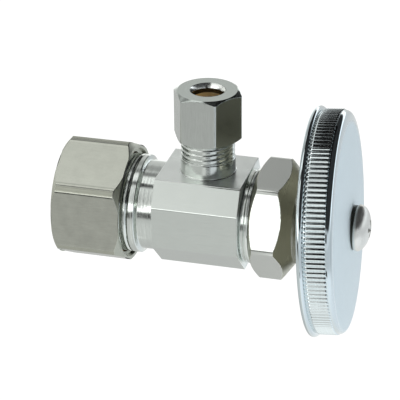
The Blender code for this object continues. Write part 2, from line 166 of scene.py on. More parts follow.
# Handle and its screw
HANDLE_R = 23.75
HANDLE_BAND_R = 22.8
HANDLE_RIB = 0.34
HANDLE_RIBS = 144
STEPS_PER_RIB = 10
RIB_END = 0.35  # over this length each end of the ribs dies away
HANDLE_BACK_X = 46.8
HANDLE_EDGE_X = 53.75
HANDLE_CENTRE_X = 54.75
HANDLE_EDGE_R = 22.95
HANDLE_BEAD_R = 0.65
HANDLE_ROUNDING = 1.25
HANDLE_WALL = 1.3
HANDLE_RISE = 0.4
HANDLE_LEAN = (Matrix.Rotation(math.radians(3.2), 4, "Z")
               @ Matrix.Rotation(math.radians(-3.8), 4, "Y"))
HUB_R = 5.4
SCREW_HEAD_R = 4.85
SCREW_HEAD_H = 3.05
SCREW_TURN = 0.3  # of the cross recess, in radians
SCREW_SEAT_X = SCREW_X[1] - SCREW_HEAD_H


# ---------------------------------------------------------------- mesh tools

def sweep_angles(corners=(), coarse=5.0, fine=0.5, spread=4.0):
    """Angles of a full turn in radians: even steps, and finer ones beside each corner."""
    turn = list(np.arange(0, 360, coarse))
    for corner in corners:
        turn += list(math.degrees(corner) + np.arange(-spread, spread + fine / 2, fine))
    turn = np.unique(np.round(np.mod(turn, 360), 2))
    keep = np.append(np.diff(turn) > fine * 0.45, True)
    return np.radians(turn[keep])


def ring(angles, along, radius):
    """One ring of a swept surface: places along the axis and radii, one for each angle."""
    return np.broadcast_to(along, angles.shape), np.broadcast_to(radius, angles.shape)


def swept(name, angles, rings, axis=X_AXIS, centre=(0, 0, 0)):
    """A closed surface through rings round an axis. Ends of radius 0 close it, others join up."""
    along, across, up = (np.array(v) for v in axis)
    spokes = np.outer(np.cos(angles), across) + np.outer(np.sin(angles), up)
    points = []
    for distance, radius in rings:
        points.append(np.array(centre) + np.outer(distance, along)
                      + spokes * np.asarray(radius)[:, None])
    count = len(angles)
    index = np.arange(len(points) * count).reshape(len(points), count)
    pairs = [(i, i + 1) for i in range(len(points) - 1)]
    if np.max(rings[0][1]) > 0:
        pairs.append((len(points) - 1, 0))
    faces = []
    for a, b in pairs:
        nxt = np.roll(np.arange(count), -1)
        faces.append(np.stack([index[a], index[a][nxt], index[b][nxt], index[b]], axis=1))
    return mesh_object(name, np.concatenate(points) * MM, np.concatenate(faces))


def add_object(name, mesh):
    obj = bpy.data.objects.new(name, mesh)
    bpy.context.scene.collection.objects.link(obj)
    return obj


def add_shape(name, shape):
    """Makes an object of a bmesh, and frees it."""
    mesh = bpy.data.meshes.new(name)
    shape.to_mesh(mesh)
    shape.free()
    return add_object(name, mesh)


def mesh_object(name, points, faces):
    """An object of these points and faces. Points that meet are merged, and faces look outwards."""
    mesh = bpy.data.meshes.new(name)
    mesh.from_pydata(points.tolist(), [], faces.tolist())
    shape = bmesh.new()
    shape.from_mesh(mesh)
    bmesh.ops.remove_doubles(shape, verts=shape.verts, dist=MERGE_DISTANCE)
    bmesh.ops.dissolve_degenerate(shape, edges=shape.edges, dist=MERGE_DISTANCE)
    bmesh.ops.recalc_face_normals(shape, faces=shape.faces)
    shape.to_mesh(mesh)
    shape.free()
    return add_object(name, mesh)


def boolean(obj, other, operation):
    """Adds or removes other, for good, and takes it away."""
    modifier = obj.modifiers.new(other.name, "BOOLEAN")
    modifier.operation = operation
    modifier.solver = "EXACT"
    modifier.object = other
    graph = bpy.context.evaluated_depsgraph_get()
    mesh = bpy.data.meshes.new_from_object(obj.evaluated_get(graph))
    obj.modifiers.clear()
    obj.data = mesh
    bpy.data.objects.remove(other)


def shade(obj, sharp=28.0):
    """Smooth shading with sharp edges, and flats that stay flat in their shading."""
    obj.data.shade_smooth()
    obj.data.set_sharp_from_angle(angle=math.radians(sharp))
    weighted = obj.modifiers.new("flats", "WEIGHTED_NORMAL")
    weighted.keep_sharp = True
    weighted.weight = 80


def polygon_radius(angles, faces, sharpness=110.0):
    """Distance to the side of a convex polygon with slightly rounded corners.

    faces holds (direction, distance) of each side.
    """
    sides = np.array([np.maximum(np.cos(angles - turn) / distance, 0) for turn, distance in faces])
    nearest = sides.max(axis=0)
    return 1 / (nearest * ((sides / nearest) ** sharpness).sum(axis=0) ** (1 / sharpness))


def hexagon_faces(flats, turn):
    return [(turn + math.pi / 6 + i * math.pi / 3, flats / 2) for i in range(6)]


def corner_angles(turn):
    return [turn + i * math.pi / 3 for i in range(6)]


def soft_min(a, b, blend=0.12):
    """The smaller of two radii, with the ridge between them rounded over."""
    gap = np.clip(0.5 + 0.5 * (b - a) / blend, 0, 1)
    return b * (1 - gap) + a * gap - blend * gap * (1 - gap) * 0.5


def arc(centre, radius, start, end, steps):
    """(along, radius) points on an arc, with angles in degrees from the +along direction."""
    turn = np.radians(np.linspace(start, end, steps + 1))
    return [(centre[0] + radius * math.cos(t), centre[1] + radius * math.sin(t)) for t in turn]


def lathe(angles, profile):
    return [ring(angles, distance, radius) for distance, radius in profile]


def thread_rings(angles, start, end, crest_r, pitch, depth, fade=(0.6, 0.6), inside=False):
    """Rings of a helical thread. fade is how many pitches it takes to grow at each end.

    An outside thread is cut down from crest_r, and an inside one is cut outwards from it.
    """
    steps = max(RINGS_PER_PITCH, int(round((end - start) / pitch * RINGS_PER_PITCH)))
    rings = []
    for place in np.linspace(start, end, steps + 1):
        phase = np.mod(place / pitch - angles / (2 * math.pi), 1)
        tooth = np.clip(np.abs(phase - 0.5) * TOOTH_STEEPNESS - 0.1, 0, 1)
        grow = min(1, (place - start) / pitch / fade[0], (end - place) / pitch / fade[1])
        cut = depth * (1 - tooth) * max(grow, 0)
        rings.append(ring(angles, place, crest_r + cut if inside else crest_r - cut))
    return rings


def paint(obj, surfaces, choose):
    """Gives each face one of several materials.

    choose takes face centres in mm and normals. It returns (surface, faces) pairs, and a face gets
    the first that holds it. The last pair holds all that are left.
    """
    count = len(obj.data.polygons)
    centres, normals = np.empty(count * 3), np.empty(count * 3)
    obj.data.polygons.foreach_get("center", centres)
    obj.data.polygons.foreach_get("normal", normals)
    pairs = choose(centres.reshape(-1, 3) / MM, normals.reshape(-1, 3))
    obj.data.materials.clear()
    for key, _ in pairs:
        obj.data.materials.append(surfaces[key])
    first = np.argmax([np.broadcast_to(faces, count) for _, faces in pairs], axis=0)
    obj.data.polygons.foreach_set("material_index", first.astype(np.int32))


def ride(obj, body, nodes):
    """Names a piece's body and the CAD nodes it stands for."""
    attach(obj, body)
    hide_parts(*nodes)


# ---------------------------------------------------------------- materials

def math_node(tree, operation, *values):
    """A Math node's output. Each value is a number or another node's output."""
    node = tree.nodes.new("ShaderNodeMath")
    node.operation = operation
    for socket, value in zip(node.inputs, values):
        if isinstance(value, (int, float)):
            socket.default_value = value
        else:
            tree.links.new(value, socket)
    return node.outputs[0]


def ramp_node(tree, source, stops):
    """A Color Ramp's output. Each stop is (position, colour)."""
    node = tree.nodes.new("ShaderNodeValToRGB")
    elements = node.color_ramp.elements
    while len(elements) < len(stops):
        elements.new(0.5)
    for element, (position, colour) in zip(elements, stops):
        element.position = position
        element.color = (*colour, 1)
    tree.links.new(source, node.inputs[0])
    return node.outputs[0]


class Nodes:
    """Short calls for a material's node tree."""

    def __init__(self, name):
        self.made = bpy.data.materials.new(name)
        self.made.use_nodes = True
        self.tree = self.made.node_tree
        self.shader = self.tree.nodes["Principled BSDF"]
        self.place = self.tree.nodes.new("ShaderNodeTexCoord").outputs["Object"]

    def link(self, source, target):
        self.tree.links.new(source, target)

    def maths(self, operation, *values):
        return math_node(self.tree, operation, *values)

    def scaled(self, scale, source=None):
        node = self.tree.nodes.new("ShaderNodeMapping")
        node.inputs["Scale"].default_value = scale
        self.link(source or self.place, node.inputs["Vector"])
        return node.outputs[0]

    def noise(self, scale, detail=2.0, roughness=0.5, source=None):
        """A noise whose scale is in grains per millimetre along each axis."""
        node = self.tree.nodes.new("ShaderNodeTexNoise")
        node.inputs["Scale"].default_value = 1.0
        node.inputs["Detail"].default_value = detail
        node.inputs["Roughness"].default_value = roughness
        self.link(self.scaled([s / MM for s in scale], source), node.inputs["Vector"])
        return node.outputs["Fac"]

    def turned_place(self, axis):
        """Coordinates for lathe marks: distance along, distance out, and a slow turn round.

        Axis X is the run's, and axis Z is the outlet's.
        """
        centre = OUTLET_CENTRE if axis == "Z" else (0, 0, 0)
        shift = self.tree.nodes.new("ShaderNodeVectorMath")
        shift.operation = "SUBTRACT"
        self.link(self.place, shift.inputs[0])
        shift.inputs[1].default_value = [c * MM for c in centre]
        split = self.tree.nodes.new("ShaderNodeSeparateXYZ")
        self.link(shift.outputs[0], split.inputs[0])
        x, y, z = split.outputs
        along, a, b = (x, y, z) if axis == "X" else (z, x, y)
        squares = self.maths("ADD", self.maths("MULTIPLY", a, a), self.maths("MULTIPLY", b, b))
        out = self.maths("SQRT", squares)
        turn = self.maths("MULTIPLY", self.maths("ARCTAN2", a, b), MM)
        joined = self.tree.nodes.new("ShaderNodeCombineXYZ")
        for source, socket in zip((along, out, turn), joined.inputs):
            self.link(source, socket)
        return joined.outputs[0]

    def ramp(self, source, stops):
        return ramp_node(self.tree, source, stops)

    def span(self, source, low, high, from_low=0.0, from_high=1.0):
        """Maps a value to a new range."""
        node = self.tree.nodes.new("ShaderNodeMapRange")
        for socket, value in zip(node.inputs[1:5], (from_low, from_high, low, high)):
            socket.default_value = value
        self.link(source, node.inputs[0])
        return node.outputs[0]

    def bump(self, height, strength, distance):
        node = self.tree.nodes.new("ShaderNodeBump")
        node.inputs["Strength"].default_value = strength
        node.inputs["Distance"].default_value = distance * MM
        self.link(height, node.inputs["Height"])
        self.link(node.outputs[0], self.shader.inputs["Normal"])


def shift_colour(colour, factor):
    return tuple(min(1.0, c * factor) for c in colour)


def plated_metal(name, colour, roughness, marks, grain=0.25, mottle=0.05, axis="X", variation=0.04,
                 depth=0.004):
    """Plated metal. marks is "drawn" for lines along the axis or "turned" for lathe marks round it.

    grain and depth are the strength and the height in mm of the marks, mottle is the share of
    clouds in the tone, and variation is how far the tone moves from the colour.
    """
    nodes = Nodes(name)
    shader = nodes.shader
    shader.inputs["Metallic"].default_value = 1.0
    if marks == "turned":
        source = nodes.turned_place(axis)
        lines = nodes.noise((2.4, 2.4, 1.2), 3.0, 0.7, source)
        fine = nodes.noise((10, 10, 4.0), 2.0, 0.5, source)
    else:
        long_way = (0.35, 14, 14) if axis == "X" else (14, 14, 0.35)
        lines = nodes.noise(long_way, 3.0, 0.65)
        fine = nodes.noise(tuple(3 * s for s in long_way), 2.0, 0.5)
    clouds = nodes.noise((0.35, 0.35, 0.35), 3.0, 0.55)
    mixed = nodes.maths("ADD", nodes.maths("MULTIPLY", lines, 1 - mottle * 4),
                        nodes.maths("MULTIPLY", clouds, mottle * 4))
    tone = nodes.ramp(mixed, [(0.3, shift_colour(colour, 1 - variation)),
                              (0.7, shift_colour(colour, 1 + variation))])
    nodes.link(tone, shader.inputs["Base Color"])
    rough = nodes.maths("ADD", nodes.span(lines, roughness * 0.8, roughness * 1.2, 0.3, 0.7),
                        nodes.span(clouds, -roughness * 0.15, roughness * 0.15, 0.3, 0.7))
    nodes.link(rough, shader.inputs["Roughness"])
    height = nodes.maths("ADD", lines, nodes.maths("MULTIPLY", fine, 0.4))
    nodes.bump(height, grain, depth)
    return nodes.made


def handle_chrome(name, colour):
    """Bright plate: mirror-like round the rim, and softer on the broad face."""
    nodes = Nodes(name)
    shader = nodes.shader
    shader.inputs["Metallic"].default_value = 1.0
    split = nodes.tree.nodes.new("ShaderNodeSeparateXYZ")
    nodes.link(nodes.turned_place("X"), split.inputs[0])
    distance_out = split.outputs["Y"]
    face_ends = ((HANDLE_EDGE_R - 2.2) * MM, (HANDLE_EDGE_R - 0.9) * MM)
    face_rough = nodes.span(distance_out, 0.6, 0.07, *face_ends)
    peel = nodes.noise((0.5, 0.5, 0.5), 2.0, 0.5)
    fine = nodes.noise((6, 6, 6), 2.0, 0.5)
    face = nodes.span(distance_out, 0.9, 0.0, *face_ends)
    stops = [(0.03, 0.98), (0.07, 1.0), (0.92, 1.22), (0.97, 1.24)]
    tone = nodes.ramp(nodes.maths("ADD", face, nodes.maths("MULTIPLY", peel, 0.1)),
                      [(place, shift_colour(colour, factor)) for place, factor in stops])
    nodes.link(tone, shader.inputs["Base Color"])
    rough = nodes.maths("MULTIPLY", face_rough, nodes.span(fine, 0.8, 1.2, 0.3, 0.7))
    nodes.link(rough, shader.inputs["Roughness"])
    nodes.bump(nodes.maths("ADD", peel, nodes.maths("MULTIPLY", fine, 0.03)), 0.15, 0.01)
    return nodes.made


def soft_compound(name, colour, roughness):
    """Rubber and packing: matt, with a fine grain."""
    nodes = Nodes(name)
    shader = nodes.shader
    grain = nodes.noise((4, 4, 4), 4.0, 0.6)
    tone = nodes.ramp(grain, [(0.3, shift_colour(colour, 0.7)), (0.7, shift_colour(colour, 1.5))])
    nodes.link(tone, shader.inputs["Base Color"])
    nodes.link(nodes.span(grain, roughness * 0.85, roughness * 1.1, 0.3, 0.7),
               shader.inputs["Roughness"])
    nodes.bump(grain, 0.4, 0.05)
    return nodes.made


CHROME = (0.71, 0.745, 0.715)
OUTLET = {"axis": "Z"}  # for marks that run along the outlet, or round it
# Each metal's material name, colour, roughness and kind of marks, and its other settings
METALS = {
    "block": ("satin_chrome_flats", CHROME, 0.15, "drawn", {"grain": 0.3}),
    # The block's faces that look up or along +X get a lighter, rougher copy of the block's chrome:
    # painted light on the top flat and the end face.
    "block_top": ("satin_chrome_block_top", (0.93, 0.97, 0.94), 0.34, "drawn", {"grain": 0.3}),
    "turned_x": ("turned_chrome_run", CHROME, 0.12, "turned", {"grain": 1.0, "depth": 0.035}),
    "turned_z": ("turned_chrome_outlet", (0.63, 0.66, 0.63), 0.14, "turned",
                 {"grain": 0.9, "depth": 0.02, **OUTLET}),
    "inlet_flats": ("satin_plate_inlet_flats", (0.48, 0.49, 0.435), 0.15, "drawn",
                    {"grain": 0.6, "mottle": 0.12, "variation": 0.15}),
    "inlet_ends": ("turned_plate_inlet_ends", (0.47, 0.48, 0.41), 0.38, "turned", {"grain": 0.6}),
    "outlet_flats": ("satin_plate_outlet_flats", (0.54, 0.565, 0.54), 0.18, "drawn",
                     {"grain": 0.8, "variation": 0.1, "depth": 0.01, **OUTLET}),
    "outlet_ends": ("turned_plate_outlet_ends", (0.56, 0.60, 0.57), 0.14, "turned",
                    {"grain": 1.0, "depth": 0.012, **OUTLET}),
    "packing_flats": ("satin_plate_packing_flats", (0.70, 0.72, 0.69), 0.17, "drawn", {}),
    "packing_ends": ("turned_plate_packing_ends", (0.54, 0.54, 0.45), 0.34, "turned",
                     {"grain": 0.5}),
    "brass": ("machined_brass", (0.80, 0.58, 0.28), 0.35, "turned", {}),
    # A lighter copy of the brass for the outlet's sleeve and the nut's bore, where little light
    # reaches: painted light.
    "brass_z": ("machined_brass_outlet", (0.92, 0.72, 0.42), 0.4, "turned", OUTLET),
    # The outlet nut's mouth gets a near-white copy of the plate: a painted highlight round the
    # bore's rim.
    "outlet_mouth": ("bright_plate_outlet_mouth", (0.95, 0.97, 0.94), 0.2, "turned", OUTLET),
    # Near-black brass in the nut's undercut below the mouth: painted shade.
    "brass_relief": ("dull_brass_relief", (0.16, 0.12, 0.06), 0.5, "turned", OUTLET),
    "stem": ("turned_plated_stem", (0.55, 0.55, 0.50), 0.25, "turned", {}),
    # A dull, darker copy of the plate inside the handle's hollow back: a rougher underside, with
    # painted shade in its darker colour.
    "handle_inside": ("dull_plate_handle_inside", (0.46, 0.46, 0.39), 0.45, "turned",
                      {"grain": 0.5}),
    # The knurled band gets a lighter copy of the handle's chrome, to offset the shade between its
    # ribs: painted light.
    "handle_knurl": ("bright_chrome_knurl", (0.8, 0.87, 0.89), 0.1, "turned", {}),
    "screw": ("satin_nickel_screw", (0.8, 0.8, 0.76), 0.33, "turned", {"grain": 0.15}),
    # Near-black nickel round the side of the screw's head, next to the handle's face: painted
    # shade.
    "screw_rim": ("dark_nickel_screw_rim", (0.06, 0.06, 0.05), 0.3, "turned", {}),
}


def make_materials():
    surfaces = {key: plated_metal(*row, **settings) for key, (*row, settings) in METALS.items()}
    surfaces["handle"] = handle_chrome("polished_chrome_handle", (0.69, 0.765, 0.79))
    surfaces["rubber"] = soft_compound("black_rubber", (0.025, 0.025, 0.025), 0.65)
    surfaces["packing"] = soft_compound("graphite_packing", (0.07, 0.07, 0.075), 0.5)
    return surfaces


# ---------------------------------------------------------------- pieces

def one_surface(obj, surface):
    obj.data.materials.clear()
    obj.data.materials.append(surface)


def block_faces():
    """The sides of the body's irregular octagon, as (direction, distance) seen along the valve."""
    corners = [
        (BLOCK_TOP_HALF, BLOCK_TOP_Z),
        (BLOCK_HALF_WIDTH, BLOCK_SIDE_HALF),
        (BLOCK_HALF_WIDTH, -BLOCK_SIDE_HALF),
        (BLOCK_BOTTOM_HALF, BLOCK_BOTTOM_Z),
    ]
    corners += [(-a, u) for a, u in reversed(corners)]
    faces = []
    for i, (a, u) in enumerate(corners):
        b, v = corners[i - 1]
        normal = Vector((v - u, a - b)).normalized()
        if normal.dot(Vector((a, u))) < 0:
            normal = -normal
        faces.append((math.atan2(normal.y, normal.x), normal.dot(Vector((a, u)))))
    return faces, [math.atan2(u, a) for a, u in corners]


def run_outside(angles, block_r):
    """Rings of the body's outside, from the inlet's mouth over the block to the bonnet's mouth."""
    start, end = BLOCK_X
    groove_x = sum(COLLAR_X) / 2
    edge = BLOCK_EDGE
    rings = lathe(angles, [
        (0, SOCKET_R + 1.6),
        (0, INLET_THREAD_R - 0.9),
        (0.8, INLET_THREAD_R - 0.12),
    ])
    rings += thread_rings(angles, 0.9, THREAD_RUNOUT_X - 0.8, INLET_THREAD_R, INLET_PITCH, 0.16,
                          (0.4, 1.0))
    rings += lathe(angles, [
        (THREAD_RUNOUT_X - 0.65, INLET_THREAD_R - 0.08),
        (THREAD_RUNOUT_X - 0.4, NECK_R + 0.2),
        (THREAD_RUNOUT_X - 0.25, NECK_R + 0.03),
        (THREAD_RUNOUT_X - 0.1, NECK_R),
        (start - 0.35, NECK_R),
        *arc((start - 0.3, NECK_R + 0.3), 0.3, -90, -5, 3),
    ])
    rings += [
        ring(angles, start, block_r - 2.2 * edge),
        ring(angles, start + 0.02, block_r - edge),
        ring(angles, start + 0.3 * edge, block_r - 0.3 * edge),
        ring(angles, start + edge, block_r),
        ring(angles, (start + end) / 2, block_r),
        ring(angles, end - edge, block_r),
        ring(angles, end - 0.3 * edge, block_r - 0.3 * edge),
        ring(angles, end - 0.02, block_r - edge),
        ring(angles, end, block_r - 2.2 * edge),
    ]
    rings += lathe(angles, [
        (end, BONNET_THREAD_R + 0.25),
        (end + 0.1, BONNET_THREAD_R),
        (COLLAR_X[0] - 0.02, BONNET_THREAD_R),
        (COLLAR_X[0], COLLAR_R - 0.2),
        *arc((COLLAR_X[0] + 0.1, COLLAR_R - 0.1), 0.1, 180, 90, 3),
        (groove_x - 0.12, COLLAR_R),
        (groove_x, COLLAR_R - 0.14),
        (groove_x + 0.12, COLLAR_R),
        *arc((COLLAR_X[1] - 0.06, COLLAR_R - 0.06), 0.06, 90, 0, 3),
        (COLLAR_X[1], BONNET_THREAD_R - 0.4),
    ])
    mouth = BODY_X[1]
    rings += thread_rings(angles, COLLAR_X[1] + 0.1, mouth - 0.5, BONNET_THREAD_R, BONNET_PITCH,
                          0.3, (0.8, 0.4))
    return rings + lathe(angles, [
        (mouth - 0.35, BONNET_THREAD_R - 0.3),
        (mouth, BONNET_THREAD_R - 0.65),
    ])


def run_inside(angles):
    """Rings of the packing box, stem chamber, seat and pipe socket, back to the inlet's mouth."""
    mouth = BODY_X[1]
    rings = lathe(angles, [
        (mouth, PACKING_BOX_R + 0.3),
        (mouth - 0.3, PACKING_BOX_R),
        (PACKING_BOX_X, PACKING_BOX_R),
        (PACKING_BOX_X - 0.3, CHAMBER_R),
    ])
    rings += thread_rings(angles, *CHAMBER_THREAD_X, CHAMBER_R, STEM_THREAD_PITCH, 0.5,
                          inside=True)[::-1]
    return rings + lathe(angles, [
        (CHAMBER_THREAD_X[0] - 0.5, CHAMBER_R),
        (SEAT_X, CHAMBER_R),
        (SEAT_X, SEAT_R + 0.9),
        (SEAT_X + 0.12, SEAT_R + 0.6),
        (SEAT_X + 0.12, SEAT_R + 0.15),
        (SEAT_X, SEAT_R),
        (SEAT_X - 2.0, SEAT_R),
        (SEAT_X - 2.0, PASSAGE_R),
        (PIPE_STOP_X, PASSAGE_R),
        (PIPE_STOP_X - 0.1, PASSAGE_R + 0.2),
        (PIPE_STOP_X, SOCKET_R - 0.2),
        (PIPE_STOP_X - 0.2, SOCKET_R),
        (2.6, SOCKET_R),
        (0.4, SOCKET_R + 1.4),
    ])


def add_outlet(body):
    """Joins the outlet's neck and thread to the block, and bores them down to the passage."""
    turn = sweep_angles(coarse=3.0)
    outside = lathe(turn, [
        (BLOCK_TOP_Z - 2.0, 0),
        (BLOCK_TOP_Z - 2.0, OUTLET_NECK_R + 0.25),
        (BLOCK_TOP_Z - 0.05, OUTLET_NECK_R + 0.25),
        *arc((BLOCK_TOP_Z + 0.25, OUTLET_NECK_R + 0.25), 0.25, 190, 270, 3),
        (OUTLET_NECK_TOP_Z - 0.1, OUTLET_NECK_R),
        (OUTLET_NECK_TOP_Z + 0.05, OUTLET_NECK_R - 0.1),
    ])
    outside += thread_rings(turn, OUTLET_NECK_TOP_Z + 0.15, OUTLET_MOUTH_Z - 0.5, OUTLET_THREAD_R,
                            OUTLET_PITCH, 0.14, (0.3, 0.3))
    outside += lathe(turn, [(OUTLET_MOUTH_Z, OUTLET_THREAD_R - 0.5), (OUTLET_MOUTH_Z, 0)])
    boolean(body, swept("outlet_outside", turn, outside, Z_AXIS, OUTLET_CENTRE), "UNION")
    tube_r = OUTLET_TUBE_R + 0.1
    bore = lathe(turn, [
        (0, 0),
        (0, OUTLET_PASSAGE_R),
        (OUTLET_STOP_Z - 0.2, OUTLET_PASSAGE_R),
        (OUTLET_STOP_Z, tube_r),
        (OUTLET_MOUTH_Z - 1.7, tube_r),
        (OUTLET_MOUTH_Z, tube_r + 1.2),
        (OUTLET_MOUTH_Z + 1, tube_r + 1.2),
        (OUTLET_MOUTH_Z + 1, 0),
    ])
    boolean(body, swept("outlet_bore", turn, bore, Z_AXIS, OUTLET_CENTRE), "DIFFERENCE")


def make_body(surfaces):
    faces, corners = block_faces()
    angles = sweep_angles(corners, coarse=2.5, fine=0.3, spread=2.1)
    block_r = polygon_radius(angles, faces, BLOCK_SHARPNESS)
    body = swept("body_forging", angles, run_outside(angles, block_r) + run_inside(angles))
    add_outlet(body)
    shade(body)
    start, end = BLOCK_X

    def choose(centres, normals):
        x, y, z = centres.T
        out = np.hypot(y, z)
        from_outlet = np.hypot(x - OUTLET_X, y)
        boss = (z > BLOCK_TOP_Z + 0.01) | ((from_outlet < OUTLET_TUBE_R + 0.15) & (z > 5))
        block = (x > start - 0.1) & (x < end + 0.1) & (out > NECK_R + 0.1) | (out < 8.0) & (x > 0.5)
        in_run = (out < SUPPLY_TUBE_R + 0.2) & ((x > 0.5) | (from_outlet < OUTLET_TUBE_R + 0.15))
        in_boss = boss & (from_outlet < OUTLET_TUBE_R + 0.2)
        facing = (normals[:, 2] > FACING) | (normals[:, 0] > FACING)
        # block_top paints a lighter copy of the block's chrome on faces that look up or along +X:
        # painted light.
        return [("brass", in_run | in_boss), ("turned_z", boss), ("block_top", block & facing),
                ("block", block), ("turned_x", True)]

    paint(body, surfaces, choose)
    ride(body, "body", ["valve_body"])


def nut_side(angles, flats, turn, land_r, blend=0.1, sharpness=130.0):
    """The radius of a hexagon whose corners are turned off at land_r."""
    return soft_min(polygon_radius(angles, hexagon_faces(flats, turn), sharpness), land_r, blend)


def make_inlet_nut(surfaces):
    turn = math.pi / 2 + INLET_TURN
    angles = sweep_angles(corner_angles(turn), coarse=1.5, fine=0.5, spread=16.0)
    side = nut_side(angles, INLET_FLATS, turn, INLET_LAND_R, 0.3)
    back, front = INLET_NUT_X
    thread_r = INLET_THREAD_R + NUT_CLEARANCE
    hole_r = SUPPLY_TUBE_R + 0.2
    slope = (INLET_LAND_R - INLET_FACE_R) / 1.0
    steps = np.linspace(0, 1.15, 15)
    rings = lathe(angles, [
        (back + 0.3, hole_r),
        (back + 0.02, hole_r + 0.3),
        (back, INLET_FACE_R - 0.1),
    ])
    chamfered = [soft_min(side, INLET_FACE_R + slope * s) for s in steps]
    rings += [ring(angles, back + s, radius) for s, radius in zip(steps, chamfered)]
    rings += [ring(angles, front - s, radius) for s, radius in zip(steps[::-1], chamfered[::-1])]
    rings += lathe(angles, [
        (front, INLET_FACE_R - 0.1),
        (front, thread_r + 0.85),
        (front - 0.9, thread_r + 0.7),
        (front - 1.1, thread_r),
    ])
    rings += thread_rings(angles, -1.0, front - 1.2, thread_r, INLET_PITCH, 0.5, inside=True)[::-1]
    rings += lathe(angles, [(-1.2, thread_r), (-1.2, hole_r + 1.8), (-3.2, hole_r)])
    nut = swept("inlet_compression_nut", angles, rings)
    shade(nut)

    def choose(centres, normals):
        inward = (centres[:, 1:] * normals[:, 1:]).sum(axis=1) < -0.1
        inside = inward & (centres[:, 0] > back + 1.0) & (centres[:, 0] < front - 1.5)
        land = np.hypot(centres[:, 1], centres[:, 2]) > INLET_LAND_R - 0.012
        ends = (np.abs(normals[:, 0]) > END_SLOPE) | land
        return [("brass", inside), ("inlet_ends", ends), ("inlet_flats", True)]

    paint(nut, surfaces, choose)
    ride(nut, "inlet_nut", ["inlet_nut"])


def make_outlet_nut(surfaces):
    angles = sweep_angles(corner_angles(OUTLET_TURN), coarse=2.5, fine=0.7, spread=14.0)
    side = nut_side(angles, OUTLET_FLATS, OUTLET_TURN, OUTLET_LAND_R)
    bottom, top = OUTLET_NUT_Z
    thread_r = OUTLET_THREAD_R + NUT_CLEARANCE
    hole_r = OUTLET_HOLE_R
    slope = (OUTLET_LAND_R - OUTLET_FACE_R) / 0.7
    steps = np.linspace(0, 0.85, 12)
    grooves = [(top - 0.035 * (k % 2), OUTLET_FACE_R - 0.15 - 0.19 * k) for k in range(12)]
    rings = lathe(angles, [
        (top - 3.4, hole_r - 0.35),
        (top - 2.0, hole_r - 0.05),
        (top - 1.95, hole_r + 0.3),
        (top - 1.25, hole_r + 0.3),
        (top - 1.15, hole_r),
        (top - 1.05, hole_r - 0.02),
        (top - 0.06, hole_r + 0.3),
        (top, hole_r + 0.35),
    ])
    rings += lathe(angles, grooves[::-1])
    chamfered = [soft_min(side, OUTLET_FACE_R + slope * s, 0.08) for s in steps]
    rings += [ring(angles, top - s, radius) for s, radius in zip(steps, chamfered)]
    rings += [ring(angles, bottom + s, radius) for s, radius in zip(steps[::-1], chamfered[::-1])]
    rings += lathe(angles, [
        (bottom, OUTLET_FACE_R - 0.05),
        (bottom, thread_r + 0.15),
        (bottom + 0.2, thread_r),
    ])
    rings += thread_rings(angles, bottom + 0.25, OUTLET_MOUTH_Z + 0.6, thread_r, OUTLET_PITCH, 0.4,
                          inside=True)
    rings += lathe(angles, [
        (OUTLET_MOUTH_Z + 0.9, thread_r),
        (OUTLET_MOUTH_Z + 0.9, hole_r + 1.3),
        (OUTLET_MOUTH_Z + 2.3, hole_r),
    ])
    nut = swept("outlet_compression_nut", angles, rings, Z_AXIS, OUTLET_CENTRE)
    shade(nut)

    def choose(centres, normals):
        x, y, z = centres.T
        out = np.hypot(x - OUTLET_X, y)
        inward = (x - OUTLET_X) * normals[:, 0] + y * normals[:, 1] < -0.1
        # inside gets brass_z, the lighter copy of the brass: painted light.
        inside = (inward | (out < thread_r)) & (z > bottom + 1.2) & (z < top - 1.1)
        # relief is the undercut below the mouth, painted near-black: painted shade.
        relief = inside & (z > top - 2.0)
        # mouth is the rim of the bore, painted with a near-white highlight.
        mouth = inward & (z > top - 1.1) & (out < hole_r + 0.31)
        ends = (np.abs(normals[:, 2]) > END_SLOPE) | inward
        return [("outlet_mouth", mouth), ("brass_relief", relief), ("brass_z", inside),
                ("outlet_ends", ends), ("outlet_flats", True)]

    paint(nut, surfaces, choose)
    ride(nut, "outlet_nut", ["outlet_nut"])


